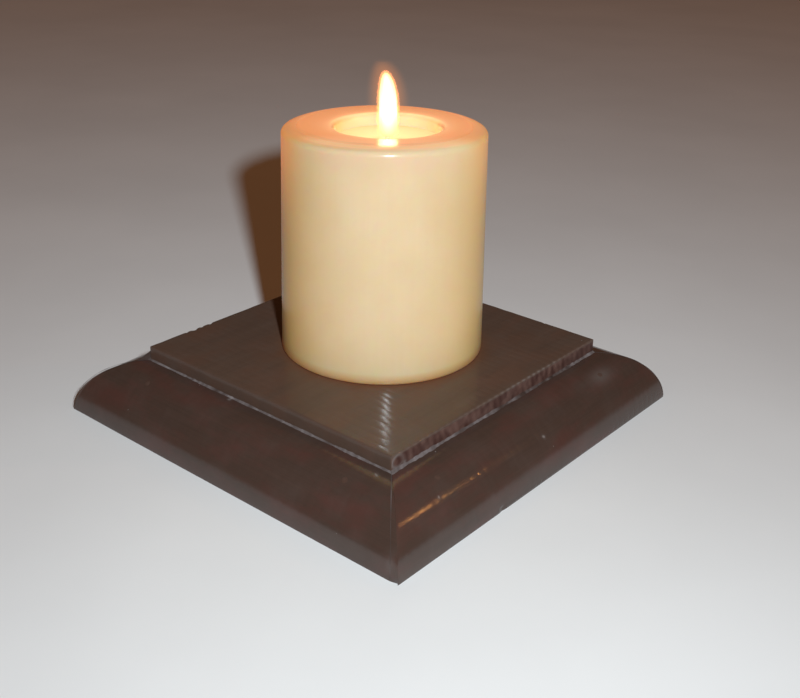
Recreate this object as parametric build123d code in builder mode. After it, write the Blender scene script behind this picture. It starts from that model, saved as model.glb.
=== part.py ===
"""Pillar candle standing on a square wooden plinth.

The plinth is a square board edged with four mitred strips of quarter-round, which
are glued and pinned to it. The candle stands loose on the board, a little off its
middle, and has burnt for long enough to melt a shallow well round its wick.

Units are millimetres. +Z is up, the origin is the middle of the plinth's underside,
-Y is the front and +X the right.
"""

import os
from math import cos, radians, sin, sqrt, tan

from build123d import *

os.makedirs("parts", exist_ok=True)

# ---- Plinth: driving dimensions

plinth_side = 154.2
board_side = 113.2
board_thickness = 24.55
board_arris = 0.35  # the sanded edge round the board's top
moulding_height = 19.15  # where the quarter-round meets the board's side
moulding_foot_round = 0.15

bead_leg = 1.2  # the glue bead's reach, up the board and out over the moulding
bead_undercut = 0.3  # how far the bead's blank starts below the joint, before trimming

pin_radius = 0.6
pin_head_radius = 0.95
pin_head_thickness = 0.7
pin_length = 20.0
pin_spread = 46.5  # each pin's distance from the middle of its strip
pin_reach = 9.5  # how far out from the board each pin is driven in
pin_slope = 30  # degrees below level, so that a pin pulls its strip down and in
filler_depth = 1.6  # the punched hole over a pin's head

# ---- Candle: driving dimensions

candle_rim_radius = 34.4
candle_draft = 1.1  # degrees, how far the wall leans in towards the rim, as it left its mould
candle_height = 78.6
candle_place = (0.6, 2.8)  # the candle's axis on the board
candle_rest_gap = 0.05  # the loose candle's clearance over the board
foot_round = 0.8

shoulder_radius = 27.0  # the top is level out to here, and then falls away
shoulder_slope = 18  # degrees, where the shoulder turns over into the rim
rim_round = 1.8

wick_place = (0.9, 0.6)  # the wick's axis, measured from the candle's
wick_radius = 0.9
wick_straight_above_pool = 1.8
wick_bend_radius = 10.0
wick_bend = 25  # degrees, the curl of the wick's end
wick_bend_heading = 215  # degrees from +X, the way that the end curls

well_radius = 18.2
well_lip_round = 1.8
well_depth = 4.7  # from the candle's top to the liquid wax
pool_radius = 17.4
pool_floor_radius = 6.0
pool_depth = 3.2

sustainer_radius = 9.0
sustainer_thickness = 0.4
sustainer_neck_radius = 1.3
sustainer_neck_height = 6.0

flame_base_above_pool = 1.1
flame_height = 20.5
flame_radius = 3.2
flame_widest_height = 2.0
flame_straightness = 0.62  # the share of the way up at which the sides start to close
flame_bluntness = 0.75  # the width that the tip's curve aims for, as a share of the flame's

# ---- Derived dimensions

board_half = board_side / 2
plinth_half = plinth_side / 2
moulding_width = plinth_half - board_half
# The quarter-round's arc leaves the board level and ends at the plinth's bottom edge.
moulding_arc = (moulding_width**2 + moulding_height**2) / (2 * moulding_height)

candle_base = board_thickness + candle_rest_gap
candle_foot = Vector(*candle_place, candle_base)
wick_foot = candle_foot + Vector(*wick_place, 0)
draft, slope = radians(candle_draft), radians(shoulder_slope)
shoulder_reach = candle_rim_radius - shoulder_radius - rim_round * (cos(draft) - sin(slope))
shoulder_arc = shoulder_reach / sin(slope)
pool_level = candle_height - well_depth
pool_floor = pool_level - pool_depth


def round_height(reach):
    """Height of the quarter-round's surface, at a distance out from the board."""
    return sqrt(moulding_arc**2 - reach**2) - (moulding_arc - moulding_height)


# ---- Working planes

side_angles = {"right": 0, "back": 90, "left": 180, "front": 270}


def section_plane(angle):
    """Plane across one edge of the plinth, with x outwards and y up."""
    outwards = Vector(1, 0, 0).rotate(Axis.Z, angle)
    return Plane(origin=(0, 0, 0), x_dir=outwards, z_dir=outwards.cross(Vector(0, 0, 1)))


def mitre_planes(angle):
    """The upright planes through the plinth's diagonals that bound one edge."""
    normals = [Vector(1, turn, 0).rotate(Axis.Z, angle) for turn in (1, -1)]
    return [Plane(origin=(0, 0, 0), x_dir=(0, 0, 1), z_dir=normal) for normal in normals]


def pin_plane(angle, along):
    """Plane at the mouth of a pin's hole, with z out of the wood along the pin."""
    across = section_plane(angle)
    mouth = Vector(board_half + pin_reach, round_height(pin_reach), along)
    slope = Vector(cos(radians(pin_slope)), sin(radians(pin_slope)), 0)
    return Plane(
        origin=across.from_local_coords(mouth),
        x_dir=across.z_dir,
        z_dir=across.from_local_coords(slope),
    )


def upright_plane(foot, heading=0):
    """Upright plane through a candle or wick axis, with x along a heading and y up."""
    sideways = Vector(1, 0, 0).rotate(Axis.Z, heading)
    return Plane(origin=foot, x_dir=sideways, z_dir=sideways.cross(Vector(0, 0, 1)))


candle_axis = Axis(candle_foot, (0, 0, 1))
wick_axis = Axis(wick_foot, (0, 0, 1))

# ---- Panel pins: two through each strip into the board, sunk below the surface

with BuildPart() as panel_pins:
    for angle in side_angles.values():
        for along in (-pin_spread, pin_spread):
            head = pin_plane(angle, along).offset(-filler_depth)
            with BuildSketch(head):
                Circle(pin_head_radius)
            extrude(amount=-pin_head_thickness)
            with BuildSketch(head):
                Circle(pin_radius)
            extrude(amount=-pin_length)
panel_pins.part.label = "panel_pins"
export_step(panel_pins.part, "parts/panel_pins.step")

# ---- Centre board: its top is the candle's seat, and its sides show above the moulding

with BuildPart() as centre_board:
    with BuildSketch():
        Rectangle(board_side, board_side)
    extrude(amount=board_thickness)
    fillet(centre_board.faces().sort_by(Axis.Z)[-1].edges(), radius=board_arris)
    add(panel_pins.part, mode=Mode.SUBTRACT)
centre_board.part.label = "centre_board"
export_step(centre_board.part, "parts/centre_board.step")

# ---- Mouldings, the filler over their pins, and the glue bead along their joints

filler_plugs = []
bead_runs = []
for side, angle in side_angles.items():
    with BuildPart() as strip:
        with BuildSketch(section_plane(angle)):
            with BuildLine():
                flats = Polyline((board_half, moulding_height), (board_half, 0), (plinth_half, 0))
                TangentArc(flats @ 0, flats @ 1, tangent=(1, 0))
            make_face()
            fillet(vertices().sort_by_distance(flats @ 1)[0], radius=moulding_foot_round)
        extrude(amount=plinth_half, both=True)
        for mitre in mitre_planes(angle):
            split(bisect_by=mitre, keep=Keep.TOP)

    with BuildPart() as side_filler:
        for along in (-pin_spread, pin_spread):
            with BuildSketch(pin_plane(angle, along).offset(-filler_depth)):
                Circle(pin_head_radius)
            extrude(amount=2 * filler_depth)
        add(strip.part, mode=Mode.INTERSECT)
    filler_plugs.append(side_filler.part)

    with BuildPart() as moulding:
        add(strip.part)
        add(side_filler.part, mode=Mode.SUBTRACT)
        add(panel_pins.part, mode=Mode.SUBTRACT)
    moulding.part.label = f"{side}_moulding"
    export_step(moulding.part, f"parts/{side}_moulding.step")

    with BuildPart() as bead_run:
        with BuildSketch(section_plane(angle)):
            with BuildLine():
                hollow = RadiusArc(
                    (board_half, moulding_height + bead_leg),
                    (board_half + bead_leg, round_height(bead_leg)),
                    bead_leg,
                )
                Polyline(
                    hollow @ 1,
                    (board_half + bead_leg, moulding_height - bead_undercut),
                    (board_half, moulding_height - bead_undercut),
                    hollow @ 0,
                )
            make_face()
        extrude(amount=plinth_half, both=True)
        for mitre in mitre_planes(angle):
            split(bisect_by=mitre, keep=Keep.TOP)
        add(strip.part, mode=Mode.SUBTRACT)
    bead_runs.append(bead_run.part)

with BuildPart() as pin_filler:
    add(filler_plugs)
pin_filler.part.label = "pin_filler"
export_step(pin_filler.part, "parts/pin_filler.step")

with BuildPart() as glue_bead:
    add(bead_runs)
glue_bead.part.label = "glue_bead"
export_step(glue_bead.part, "parts/glue_bead.step")

# ---- Wick: from the candle's foot to its curled end in the flame

with BuildPart() as wick:
    with BuildLine(upright_plane(wick_foot, wick_bend_heading)) as wick_path:
        stem = Line((0, 0), (0, pool_level + wick_straight_above_pool))
        JernArc(start=stem @ 1, tangent=stem % 1, radius=wick_bend_radius, arc_size=-wick_bend)
    with BuildSketch(Plane(origin=wick_foot, z_dir=(0, 0, 1))):
        Circle(wick_radius)
    sweep(path=wick_path.wires()[0])
wick.part.label = "wick"
export_step(wick.part, "parts/wick.step")

# ---- Wick sustainer: a thin tab in the candle's foot, with a neck crimped on the wick

with BuildPart() as wick_sustainer:
    with BuildSketch(Plane(wick_foot)):
        Circle(sustainer_radius)
    extrude(amount=sustainer_thickness)
    with BuildSketch(Plane(wick_foot)):
        Circle(sustainer_neck_radius)
    extrude(amount=sustainer_neck_height)
    add(wick.part, mode=Mode.SUBTRACT)
wick_sustainer.part.label = "wick_sustainer"
export_step(wick_sustainer.part, "parts/wick_sustainer.step")

# ---- Melt pool: liquid wax in the dished floor of the well

with BuildPart() as melt_pool:
    with BuildSketch(upright_plane(wick_foot)):
        with BuildLine():
            surface = Polyline((pool_radius, pool_level), (0, pool_level), (0, pool_floor))
            flat = Line(surface @ 1, (pool_floor_radius, pool_floor))
            TangentArc(flat @ 1, surface @ 0, tangent=(1, 0))
        make_face()
    revolve(axis=wick_axis)
    add(wick.part, mode=Mode.SUBTRACT)
melt_pool.part.label = "melt_pool"
export_step(melt_pool.part, "parts/melt_pool.step")

# ---- Candle wax: a tapered pillar with a falling shoulder, less the well and what is set in it

with BuildPart() as candle_wax:
    with BuildSketch(upright_plane(candle_foot)):
        with BuildLine():
            top = Line((0, candle_height), (shoulder_radius, candle_height))
            shoulder = JernArc(top @ 1, tangent=(1, 0), radius=shoulder_arc, arc_size=-shoulder_slope)
            rim_turn = 90 - candle_draft - shoulder_slope
            rim = JernArc(shoulder @ 1, shoulder % 1, radius=rim_round, arc_size=-rim_turn)
            wall_foot = foot_round * (1 + sin(draft))
            wall_reach = candle_rim_radius + ((rim @ 1).Y - wall_foot) * tan(draft)
            wall = Line(rim @ 1, (wall_reach, wall_foot))
            foot = JernArc(wall @ 1, wall % 1, radius=foot_round, arc_size=-(90 + candle_draft))
            Polyline(foot @ 1, (0, 0), top @ 0)
        make_face()
    revolve(axis=candle_axis)
    with BuildSketch(upright_plane(wick_foot)):
        well_edge = [(pool_radius, pool_level), (well_radius, candle_height)]
        Polygon((0, pool_level), *well_edge, (0, candle_height), align=None)
    revolve(axis=wick_axis, mode=Mode.SUBTRACT)
    lip = candle_wax.edges().group_by(Axis.Z)[-1].sort_by(SortBy.RADIUS)[0]
    fillet(lip, radius=well_lip_round)
    for inset in (melt_pool, wick, wick_sustainer):
        add(inset.part, mode=Mode.SUBTRACT)
candle_wax.part.label = "candle_wax"
export_step(candle_wax.part, "parts/candle_wax.step")

# ---- Flame: a column with a round foot, straight sides and a blunt tip

flame_foot = wick_foot + Vector(0, 0, pool_level + flame_base_above_pool)
with BuildPart() as flame:
    with BuildSketch(upright_plane(flame_foot)):
        with BuildLine():
            widest = (flame_radius, flame_widest_height)
            belly = Bezier((0, 0), (flame_radius, 0), (flame_radius, flame_widest_height / 2), widest)
            straight_top = (flame_radius, flame_straightness * flame_height)
            tip_spread = (flame_bluntness * flame_radius, flame_height)
            tip = Bezier(belly @ 1, straight_top, tip_spread, (0, flame_height))
            Line(tip @ 1, belly @ 0)
        make_face()
    revolve(axis=wick_axis)
    add(wick.part, mode=Mode.SUBTRACT)
flame.part.label = "flame"
export_step(flame.part, "parts/flame.step")
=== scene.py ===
# %% [markdown]
# # A lit pillar candle on a moulded wooden plinth
#
# The object is two loose things. The plinth is a square board edged with four mitred strips
# of quarter-round, glued and pinned, then stained nearly black and varnished. The candle is
# an ivory pillar that just stands on it. It has burnt for a while, so a shallow well of
# melted wax lies round its wick.
#
# A frame of solids at their real sizes comes first and stays fixed. Every piece below is
# modelled round it in metres, and rides on one of its two bodies, so that the candle can be
# lifted off the plinth.

# %% Load the frame
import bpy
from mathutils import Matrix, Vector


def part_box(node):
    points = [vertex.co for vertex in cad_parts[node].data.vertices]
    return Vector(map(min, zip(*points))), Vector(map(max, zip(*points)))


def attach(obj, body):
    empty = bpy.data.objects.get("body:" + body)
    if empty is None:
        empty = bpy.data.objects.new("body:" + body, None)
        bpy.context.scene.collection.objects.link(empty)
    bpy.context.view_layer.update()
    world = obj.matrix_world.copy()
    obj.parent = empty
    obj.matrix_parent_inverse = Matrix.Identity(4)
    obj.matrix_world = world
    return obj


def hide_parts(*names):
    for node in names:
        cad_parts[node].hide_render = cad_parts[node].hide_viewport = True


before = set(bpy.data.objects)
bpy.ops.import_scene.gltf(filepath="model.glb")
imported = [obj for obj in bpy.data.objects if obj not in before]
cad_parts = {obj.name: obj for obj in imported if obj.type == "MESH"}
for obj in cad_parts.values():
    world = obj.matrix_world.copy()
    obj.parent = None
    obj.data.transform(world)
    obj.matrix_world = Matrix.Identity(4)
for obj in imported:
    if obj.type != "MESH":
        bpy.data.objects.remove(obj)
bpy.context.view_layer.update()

# %% [markdown]
# ## Places and sizes
#
# Nothing here is fitted by eye. The board, the strips, the wax and the pool each give a box,
# and the places of everything else follow from those boxes. Small sizes of finish, such as
# how deep a nick is, are given in millimetres where they are first used.

# %% Modules, and the places that the frame gives
from math import cos, pi, radians, sin, sqrt, tan

import bmesh
import bpy
import numpy as np
from mathutils import Matrix, Vector, noise

mm = 0.001


def middle(node):
    """The centre of a node's box, seen from above."""
    low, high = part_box(node)
    return np.array([(low.x + high.x) / 2, (low.y + high.y) / 2])


board_half, board_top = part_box("centre_board")[1].x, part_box("centre_board")[1].z
plinth_half, strip_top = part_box("right_moulding")[1].x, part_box("right_moulding")[1].z
candle_centre, wick_centre = middle("candle_wax"), middle("melt_pool")
candle_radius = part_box("candle_wax")[1].x - candle_centre[0]  # at the foot, where it is widest
candle_foot, candle_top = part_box("candle_wax")[0].z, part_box("candle_wax")[1].z
pool_radius, pool_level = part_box("melt_pool")[1].x - wick_centre[0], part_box("melt_pool")[1].z
pool_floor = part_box("melt_pool")[0].z
flame_foot, flame_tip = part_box("flame")[0].z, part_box("flame")[1].z
print(f"board {2000 * board_half:.1f} mm, plinth {2000 * plinth_half:.1f} mm, "
      f"candle {2000 * candle_radius:.1f} x {1000 * (candle_top - candle_foot):.1f} mm")

# %% [markdown]
# ## The camera
#
# A camera is placed by where it stands and three turns: which way it heads, how far it looks
# down, and a slight roll, because it was held by hand. A lens of 49 mm on the usual 36 mm
# sensor gives the perspective of a small camera at arm's length.

# %% Camera
camera_place = Vector((236.1, -268.8, 190.75)) * mm
camera_heading, camera_drop, camera_roll = 39.87, 25.24, 1.248  # degrees
camera_turn = (Matrix.Rotation(radians(camera_heading), 4, "Z")
               @ Matrix.Rotation(radians(90 - camera_drop), 4, "X")
               @ Matrix.Rotation(radians(camera_roll), 4, "Z"))
camera = bpy.data.objects.new("camera", bpy.data.cameras.new("camera"))
camera.data.lens = 49.32
camera.data.clip_start = 0.01
camera.matrix_world = Matrix.Translation(camera_place) @ camera_turn
bpy.context.collection.objects.link(camera)
bpy.context.scene.camera = camera
print("camera stands", round((camera_place - Vector((0, 0, board_top))).length, 3), "m from the board")

# %% [markdown]
# ## A few words for building node trees
#
# A node tree in code is mostly the same three steps: make a node, set it up, and feed its
# inputs. One short function does that. The others put it to use for arithmetic, the mixing
# of colours, noise, values stored on a mesh and groups, so that each finish below reads as
# a list of what it is made of.

# %% Nodes, arithmetic and colours
def fill(tree, sockets, values):
    """Feeds sockets, by name or number. A plain value is set on the socket, an output is linked.

    A colour is given as three numbers, and is opaque."""
    for label, value in values.items():
        socket = sockets[label.replace("_", " ") if isinstance(label, str) else label]
        if isinstance(value, bpy.types.NodeSocket):
            tree.links.new(value, socket)
        else:
            socket.default_value = (*value, 1) if socket.type == "RGBA" else value


def node(tree, kind, inputs=None, **settings):
    """A node of a kind, with its settings, fed by values or by other nodes' outputs."""
    made = tree.nodes.new(kind)
    for name, value in settings.items():
        setattr(made, name, value)
    fill(tree, made.inputs, inputs or {})
    return made


def calc(tree, operation, first, second=0.0, third=0.0, clamp=False):
    """The result of one step of arithmetic."""
    inputs = {0: first, 1: second, 2: third}
    return node(tree, "ShaderNodeMath", inputs, operation=operation, use_clamp=clamp).outputs[0]


def times(tree, first, second, clamp=False):
    """One value multiplied by another."""
    return calc(tree, "MULTIPLY", first, second, clamp=clamp)


def blend_colours(tree, share, first, second, way="MIX"):
    """The first colour where share is 0, and the second where it is 1."""
    inputs = {0: share, 6: first, 7: second}
    return node(tree, "ShaderNodeMix", inputs, data_type="RGBA", blend_type=way).outputs[2]


def add_colour(tree, share, first, second):
    """The first colour, with a share of the second on top of it."""
    return blend_colours(tree, share, first, second, "ADD")

# %% Values that change over a surface
def spread(tree, value, low, high, to_low=0.0, to_high=1.0, smooth=False):
    """A value between low and high, spread over another range and held at its ends."""
    inputs = {"Value": value, "From Min": low, "From Max": high, "To Min": to_low, "To Max": to_high}
    style = "SMOOTHSTEP" if smooth else "LINEAR"
    return node(tree, "ShaderNodeMapRange", inputs, interpolation_type=style).outputs["Result"]


def mark(tree, name, part="Fac"):
    """A value or a vector that was stored on the mesh's points."""
    return node(tree, "ShaderNodeAttribute", attribute_name=name).outputs[part]


def own_place(tree):
    """Where a point lies in its piece's own space, which is the frame's for every piece here."""
    return node(tree, "ShaderNodeTexCoord").outputs["Object"]


def noise_at(tree, place, scale, detail=2.0, roughness=0.5):
    """A noise texture's value at a place. Three scales, one for each axis, draw its lumps out."""
    if isinstance(scale, tuple):
        stretch = {0: place, 1: scale}
        place = node(tree, "ShaderNodeVectorMath", stretch, operation="MULTIPLY").outputs[0]
        scale = 1.0
    inputs = {"Vector": place, "Scale": scale, "Detail": detail, "Roughness": roughness}
    return node(tree, "ShaderNodeTexNoise", inputs).outputs["Fac"]


def side_on(tree, low, high, to_low=0.0, to_high=1.0):
    """A share that grows as a surface turns away from whoever looks at it."""
    facing = node(tree, "ShaderNodeLayerWeight", {"Blend": 0.5}).outputs["Facing"]
    return spread(tree, facing, low, high, to_low, to_high)


def bump(tree, height, depth=1.0):
    """A normal that follows a height, which is in metres once it is multiplied by depth."""
    return node(tree, "ShaderNodeBump", {"Height": height, "Distance": depth}).outputs["Normal"]

# %% Groups and finishes
def effect(name, inputs, outputs):
    """An empty node group with the named sockets, and what comes in and what goes out."""
    group = bpy.data.node_groups.new(name, "ShaderNodeTree")
    for label, (kind, start) in inputs.items():
        socket = group.interface.new_socket(label, in_out="INPUT", socket_type=f"NodeSocket{kind}")
        socket.default_value = start
    for label, kind in outputs.items():
        group.interface.new_socket(label, in_out="OUTPUT", socket_type=f"NodeSocket{kind}")
    print(f"group: {name}, from {', '.join(inputs)} to {', '.join(outputs)}")
    return group, group.nodes.new("NodeGroupInput").outputs, group.nodes.new("NodeGroupOutput").inputs


def placed(tree, group, **inputs):
    """The outputs of a group that is placed in a tree, its inputs given by name."""
    return node(tree, "ShaderNodeGroup", inputs, node_tree=group).outputs


def finish(name, **constants):
    """A new material, its tree and its shader, whose plain values are set on its own sockets."""
    material = bpy.data.materials.new(name)
    material.use_nodes = True
    shader = material.node_tree.nodes["Principled BSDF"]
    feed(material.node_tree, shader, **constants)
    print("finish:", name)
    return material, material.node_tree, shader


def feed(tree, shader, **values):
    """Feeds the shader with what changes over the surface, or with plain values."""
    fill(tree, shader.inputs, values)

# %% [markdown]
# ## Light
#
# Three lights and a dim room do the work. The key is a small, slightly cool lamp just beside
# and above the camera. It could be an ordinary area light, but its light would fall away so
# fast, with distance squared, that the far floor went black. A Light Falloff node makes most
# of it fade in step with distance and the rest not at all. A small warm lamp stands behind
# on the right and draws a fine bright line along the varnished moulding. The flame itself
# lights the wax, because it is a glowing mesh.

# %% Lights
def area_light(name, place, target, width, power, colour):
    """A round area light at a place, turned to its target."""
    light = bpy.data.lights.new(name, "AREA")
    light.shape, light.size, light.energy, light.color = "DISK", width, power, colour
    lamp = bpy.data.objects.new(name, light)
    lamp.location = place
    lamp.rotation_euler = (Vector(target) - Vector(place)).to_track_quat("-Z", "Y").to_euler()
    bpy.context.collection.objects.link(lamp)
    return lamp


subject = Vector((0, 0, board_top))
beside_lens = camera_turn @ Vector((33, 30.5, 0)) * mm
key = area_light("key", camera_place + beside_lens, subject, 16 * mm, 4.6, (0.79, 0.875, 0.915))
key.data.use_nodes = True
key_tree = key.data.node_tree
falloff = node(key_tree, "ShaderNodeLightFalloff", {"Strength": 1.0}).outputs
fading_part, steady_part = 0.916, 0.447
strength = times(key_tree, falloff["Linear"], fading_part)
strength = calc(key_tree, "MULTIPLY_ADD", falloff["Constant"], steady_part, strength)
key_tree.links.new(strength, key_tree.nodes["Emission"].inputs["Strength"])

glint = Vector((70.7, -64.4, 13.4)) * mm  # where the lamp's line on the right moulding is brightest
lamp_way, lamp_distance = Vector((0.534, 0.650, 0.540)), 1.6
lamp_place = glint + lamp_distance * lamp_way
lamp = area_light("warm_lamp", lamp_place, glint, 32 * mm, 0.35, (1.0, 0.42, 0.12))
print("key", [round(x, 3) for x in key.location], "lamp", [round(x, 3) for x in lamp.location])

# %% [markdown]
# ## The room and the floor
#
# The room gives a dim warm light, so that shadows are brown and not black. What the camera
# sees past the floor's edge is a plain grey backdrop, which the Light Path node keeps apart
# from the light that the room gives. The floor is one large pale sheet with a trace of
# mottling. It is part of the stage, not of the object.

# %% Room
room = bpy.data.worlds.new("room")
bpy.context.scene.world = room
room.use_nodes = True
room_tree = room.node_tree
room_light = (0.102, 0.043, 0.018)
backdrop = (0.30, 0.28, 0.26)
seen = node(room_tree, "ShaderNodeLightPath").outputs["Is Camera Ray"]
room_colour = blend_colours(room_tree, seen, room_light, backdrop)
room_tree.links.new(room_colour, room_tree.nodes["Background"].inputs["Color"])
bpy.context.scene.view_settings.view_transform = "Standard"
print("the room's light is", room_light, "and its backdrop", backdrop)

# %% Floor
floor_reach = 15.0
corners = [(-floor_reach, -floor_reach, 0), (floor_reach, -floor_reach, 0),
           (floor_reach, floor_reach, 0), (-floor_reach, floor_reach, 0)]
floor_mesh = bpy.data.meshes.new("floor")
floor_mesh.from_pydata(corners, [], [(0, 1, 2, 3)])
floor = bpy.data.objects.new("floor", floor_mesh)
bpy.context.collection.objects.link(floor)

floor_paint, tree, shader = finish("pale floor paint", Roughness=0.7)
mottle = spread(tree, noise_at(tree, own_place(tree), 9.0, 4.0), 0.35, 0.65)
colour = blend_colours(tree, mottle, (0.78, 0.78, 0.78), (0.82, 0.82, 0.82))
feed(tree, shader, Base_Color=colour)
floor_mesh.materials.append(floor_paint)
print("the floor reaches", floor_reach, "m each way")

# %% [markdown]
# ## Meshes from loops
#
# Every piece here is long or round, so each can be described as a row of closed loops with
# the same number of points: sections of a strip, rings round the candle, rings round the
# board. Primitives with modifiers could give the same outlines, but with loops each point is
# placed by a formula, so wear, waves and nicks are part of the shape itself. One function
# bridges the loops with quads and closes the ends, and another gives smooth, repeatable
# unevenness.

# %% A skin over loops
def skin(name, loops, ring=False, marks=None, crease=35):
    """A closed mesh over a row of loops, whose ends are capped, or joined up in a ring.

    A mark holds a value for each point, or for each loop."""
    loops = np.asarray(loops, float)
    rows, size = loops.shape[:2]
    points = loops.reshape(-1, 3)
    index = np.arange(rows * size).reshape(rows, size)
    if ring:
        index = np.vstack([index, index[:1]])
    here, after = index[:-1], index[1:]
    quads = np.stack([here, np.roll(here, -1, 1), np.roll(after, -1, 1), after], 2).reshape(-1, 4)
    faces = quads.tolist()
    if not ring:
        points = np.vstack([points, loops[0].mean(0), loops[-1].mean(0)])
        for end, hub in ((index[0], len(points) - 2), (index[-1], len(points) - 1)):
            faces += [[a, b, hub] for a, b in zip(end.tolist(), np.roll(end, -1).tolist())]
    mesh = bpy.data.meshes.new(name)
    mesh.from_pydata(points.tolist(), [], faces)
    for label, values in (marks or {}).items():
        values = np.asarray(values, float)
        if values.ndim == 1:
            values = np.repeat(values[:, None], size, 1)
        values = values.reshape(rows, size, -1)
        flat = values.reshape(rows * size, -1)
        if not ring:
            flat = np.vstack([flat, values[0].mean(0), values[-1].mean(0)])
        kind, field = ("FLOAT", "value") if flat.shape[1] == 1 else ("FLOAT_VECTOR", "vector")
        mesh.attributes.new(label, kind, "POINT").data.foreach_set(field, flat.ravel())
    work = bmesh.new()
    work.from_mesh(mesh)
    bmesh.ops.recalc_face_normals(work, faces=work.faces)
    work.to_mesh(mesh)
    work.free()
    mesh.polygons.foreach_set("use_smooth", [True] * len(mesh.polygons))
    mesh.set_sharp_from_angle(angle=radians(crease))
    piece = bpy.data.objects.new(name, mesh)
    bpy.context.collection.objects.link(piece)
    return piece

# %% Dressing a piece, and unevenness
def dress(piece, body, slot, material, *nodes):
    """Gives a piece its material and its body, and hides the nodes that it stands for. Its slot is not
    used.
    """
    piece.data.materials.append(material)
    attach(piece, body)
    if nodes:
        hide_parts(*nodes)
    print(f"{piece.name}: {len(piece.data.polygons)} faces, rides on {body}")


def wander(places, lump, seed=0):
    """Smooth unevenness, from about -1 to 1, with lumps of one size, at each place."""
    places = np.asarray(places, float)
    shift = Vector((7.3, 3.1, 5.7)) * (seed + 1)
    flat = [noise.noise(Vector(place) / lump + shift) for place in places.reshape(-1, 3)]
    return np.array(flat).reshape(places.shape[:-1])


def hump(distance, width):
    """1 where distance is 0, falling smoothly to nothing over about two widths."""
    return np.exp(-((distance / width) ** 2))

# %% [markdown]
# ## Effects that several finishes share
#
# Wood grain, the ripples that a planer's cutters leave, wear on edges, dust, and a painted
# glow round the flame, which stands in for its light, each turn up in more than one material.
# Each is a node group, built once, with inputs for what differs from one material to the
# next. The wooden pieces store a vector called grain_place, which runs along the grain first,
# so that one group suits strips that lie in different directions.
#
# A planer's cutters leave a row of shallow scallops. They could be drawn as a sine, but each
# wave of a sine mirrors a lamp twice, once on its crest and once in its hollow. A row of arcs
# with sharp joins mirrors it once for each. These arcs swell upwards where real scallops are
# hollow, and at this depth the two look the same.

# %% Wood grain
grain, come, go = effect(
    "wood grain",
    {"Place": ("Vector", (0, 0, 0)), "Figure": ("Float", 1.0)},
    {"Tone": "Float", "Height": "Float"},
)
fibres = noise_at(grain, come["Place"], (30, 1400, 1400), 3.0)
bands = noise_at(grain, come["Place"], (9, 160, 160), 3.0)
tone = calc(grain, "MULTIPLY_ADD", bands, 0.6, times(grain, fibres, 0.4))
tone = spread(grain, tone, 0.36, 0.64)
tone = calc(grain, "MULTIPLY_ADD", calc(grain, "SUBTRACT", tone, 0.5), come["Figure"], 0.5, clamp=True)
grain.links.new(tone, go["Tone"])
grain.links.new(fibres, go["Height"])

# %% Cutter ripples
ripples, come, go = effect(
    "cutter ripples",
    {"Place": ("Vector", (0, 0, 0)), "Pitch": ("Float", 3.5 * mm)},
    {"Height": "Float"},
)
along = node(ripples, "ShaderNodeSeparateXYZ", {0: come["Place"]}).outputs["X"]
drift = noise_at(ripples, come["Place"], (120, 60, 60), 1.0)
turns = calc(ripples, "MULTIPLY_ADD", drift, 0.6, calc(ripples, "DIVIDE", along, come["Pitch"]))
off_crest = calc(ripples, "SUBTRACT", calc(ripples, "FRACT", turns), 0.5)
arc = calc(ripples, "MULTIPLY_ADD", times(ripples, off_crest, off_crest), -8.0, 1.0)
strength = spread(ripples, noise_at(ripples, come["Place"], (90, 200, 200)), 0.3, 0.7)
ripples.links.new(times(ripples, arc, strength), go["Height"])

# %% Worn edges
wear, come, go = effect(
    "worn edge",
    {"Edge": ("Float", 0.0), "Place": ("Vector", (0, 0, 0)), "Patch": ("Float", 400.0)},
    {"Mask": "Float"},
)
ragged = noise_at(wear, come["Place"], come["Patch"], 4.0, 0.65)
rubbed = calc(wear, "ADD", come["Edge"], times(wear, calc(wear, "SUBTRACT", ragged, 0.5), 1.6))
rubbed = spread(wear, rubbed, 0.45, 0.85, smooth=True)
wear.links.new(times(wear, rubbed, come["Edge"], clamp=True), go["Mask"])

# %% Dust
dust, come, go = effect(
    "dust",
    {"Place": ("Vector", (0, 0, 0)), "Specks": ("Float", 0.5), "Film": ("Float", 0.1)},
    {"Mask": "Float"},
)
cells = node(dust, "ShaderNodeTexVoronoi", {"Vector": come["Place"], "Scale": 210.0})
chosen = node(dust, "ShaderNodeSeparateColor", {0: cells.outputs["Color"]}).outputs[0]
size = spread(dust, chosen, 0.93, 1.0, 0.0, 0.06)
speck = calc(dust, "LESS_THAN", cells.outputs["Distance"], size)
film = spread(dust, noise_at(dust, come["Place"], 70.0, 5.0, 0.6), 0.45, 0.8)
mask = calc(dust, "MULTIPLY_ADD", speck, come["Specks"], times(dust, film, come["Film"]), clamp=True)
dust.links.new(mask, go["Mask"])


def dusted(tree, place, colour, specks, film, pale):
    """A colour under a little dust, which is specks and a film of a paler colour."""
    dusty = placed(tree, dust, Place=place, Specks=specks, Film=film)["Mask"]
    return blend_colours(tree, dusty, colour, pale)

# %% Painted candle glow
glow, come, go = effect(
    "painted candle glow",
    {"Source": ("Vector", (0, 0, 0)), "Near": ("Float", 10 * mm), "Reach": ("Float", 8 * mm)},
    {"Glow": "Float"},
)
ends = {0: own_place(glow), 1: come["Source"]}
gap = node(glow, "ShaderNodeVectorMath", ends, operation="DISTANCE").outputs["Value"]
inside = calc(glow, "DIVIDE", calc(glow, "SUBTRACT", come["Near"], gap), come["Reach"])
brightest = 4.0  # it is 1 at the distance called Near, and grows inside that
glow.links.new(calc(glow, "MINIMUM", calc(glow, "EXPONENT", inside), brightest), go["Glow"])


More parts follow.
